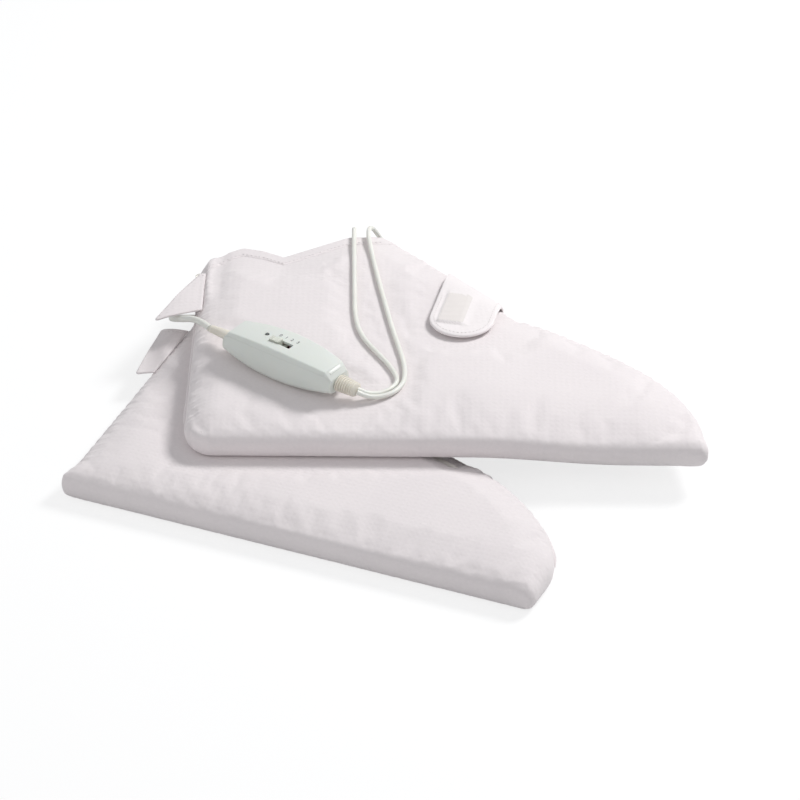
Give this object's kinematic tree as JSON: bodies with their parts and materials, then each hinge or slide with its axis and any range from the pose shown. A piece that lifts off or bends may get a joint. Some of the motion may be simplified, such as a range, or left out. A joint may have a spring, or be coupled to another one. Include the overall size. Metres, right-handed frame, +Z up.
{
  "type": "heated pedicure boots",
  "caption": "Soft heated fabric boots for foot care, lying one on the other, with an in-line slide-switch controller, boot leads, and a coiled mains cord with a flat plug.",
  "frame": {"origin": "on the table under the middle of the boots and controller, free cords not counted", "axes": "+X along the upper boot's sole towards its toe, +Y up its leg towards the mouth, +Z up"},
  "size_m": [0.4471, 0.4419, 0.0797],
  "materials": {
    "boot_fabric": "matt woven polyester, slightly shiny",
    "edge_binding": "matt woven binding",
    "wadding": "soft polyester wadding",
    "heater_felt": "needle felt with heating wire sewn on",
    "lining_fleece": "short fleece",
    "hook_and_loop": "nylon hook and loop",
    "controller_shell": "satin moulded plastic",
    "white_vinyl": "satin soft vinyl",
    "light_lens": "polished smoked plastic",
    "circuit_board": "satin laminate",
    "dark_plastic": "matt moulded plastic",
    "bright_steel": "plated, bright"
  },
  "bodies": {
    "boots_and_controller": {"upper_boot_top_panel": "boot_fabric", "upper_boot_bottom_panel": "boot_fabric", "upper_boot_sole_gusset": "boot_fabric", "upper_boot_front_piping": "edge_binding", "upper_boot_back_piping": "edge_binding", "upper_boot_mouth_hem": "edge_binding", "upper_boot_top_wadding": "wadding", "upper_boot_bottom_wadding": "wadding", "upper_boot_thermostat": "dark_plastic", "upper_boot_bottom_heater": "heater_felt", "upper_boot_top_heater": "heater_felt", "upper_boot_bottom_heating_wire": "white_vinyl", "upper_boot_top_heating_wire": "white_vinyl", "upper_boot_lining_top": "lining_fleece", "upper_boot_lining_bottom": "lining_fleece", "upper_boot_lead_grommet": "white_vinyl", "upper_boot_strap_loop_patch": "hook_and_loop", "lower_boot_top_panel": "boot_fabric", "lower_boot_bottom_panel": "boot_fabric", "lower_boot_sole_gusset": "boot_fabric", "lower_boot_front_piping": "edge_binding", "lower_boot_back_piping": "edge_binding", "lower_boot_mouth_hem": "edge_binding", "lower_boot_top_wadding": "wadding", "lower_boot_bottom_wadding": "wadding", "lower_boot_thermostat": "dark_plastic", "lower_boot_bottom_heater": "heater_felt", "lower_boot_top_heater": "heater_felt", "lower_boot_bottom_heating_wire": "white_vinyl", "lower_boot_top_heating_wire": "white_vinyl", "lower_boot_lining_top": "lining_fleece", "lower_boot_lining_bottom": "lining_fleece", "lower_boot_lead_grommet": "white_vinyl", "lower_boot_instep_strap": "boot_fabric", "lower_boot_strap_hook_patch": "hook_and_loop", "lower_boot_strap_loop_patch": "hook_and_loop", "upper_housing": "controller_shell", "lower_housing": "controller_shell", "housing_screw_1": "bright_steel", "housing_screw_2": "bright_steel", "circuit_board": "circuit_board", "switch_block": "dark_plastic", "light_pipe": "light_lens", "ribbed_strain_relief": "white_vinyl", "mains_strain_relief": "white_vinyl", "upper_boot_lead": "white_vinyl", "lower_boot_lead": "white_vinyl", "mains_cord": "white_vinyl", "mains_coil": "white_vinyl", "mains_tail": "white_vinyl", "plug_body": "white_vinyl", "plug_pin_1": "bright_steel", "plug_pin_2": "bright_steel"},
    "upper_strap": {"upper_boot_instep_strap": "boot_fabric", "upper_boot_strap_hook_patch": "hook_and_loop"},
    "upper_flap": {"upper_boot_closure_flap": "boot_fabric", "upper_boot_flap_hook_patch": "hook_and_loop"},
    "lower_flap": {"lower_boot_closure_flap": "boot_fabric", "lower_boot_flap_hook_patch": "hook_and_loop"},
    "switch_knob": {"slide_knob": "white_vinyl"}
  },
  "joints": [
    {"name": "switch_slide", "type": "slide", "parent": "boots_and_controller", "child": "switch_knob", "axis": [0.7986, -0.6018, 0], "range_m": [0, 0.009]},
    {"name": "upper_strap_hinge", "type": "hinge", "parent": "boots_and_controller", "child": "upper_strap", "pos_m": [0.07534, 0.12731, 0.0318], "axis": [-0.6295, 0.777, 0], "range_deg": [0, 150]},
    {"name": "upper_flap_hinge", "type": "hinge", "parent": "boots_and_controller", "child": "upper_flap", "pos_m": [-0.13413, 0.12354, 0.0465], "axis": [0.0105, 0.9999, 0], "range_deg": [0, 110]},
    {"name": "lower_flap_hinge", "type": "hinge", "parent": "boots_and_controller", "child": "lower_flap", "pos_m": [-0.157, 0.08127, 0.0207], "axis": [0.3714, 0.9285, 0], "range_deg": [0, 25]}
  ]
}
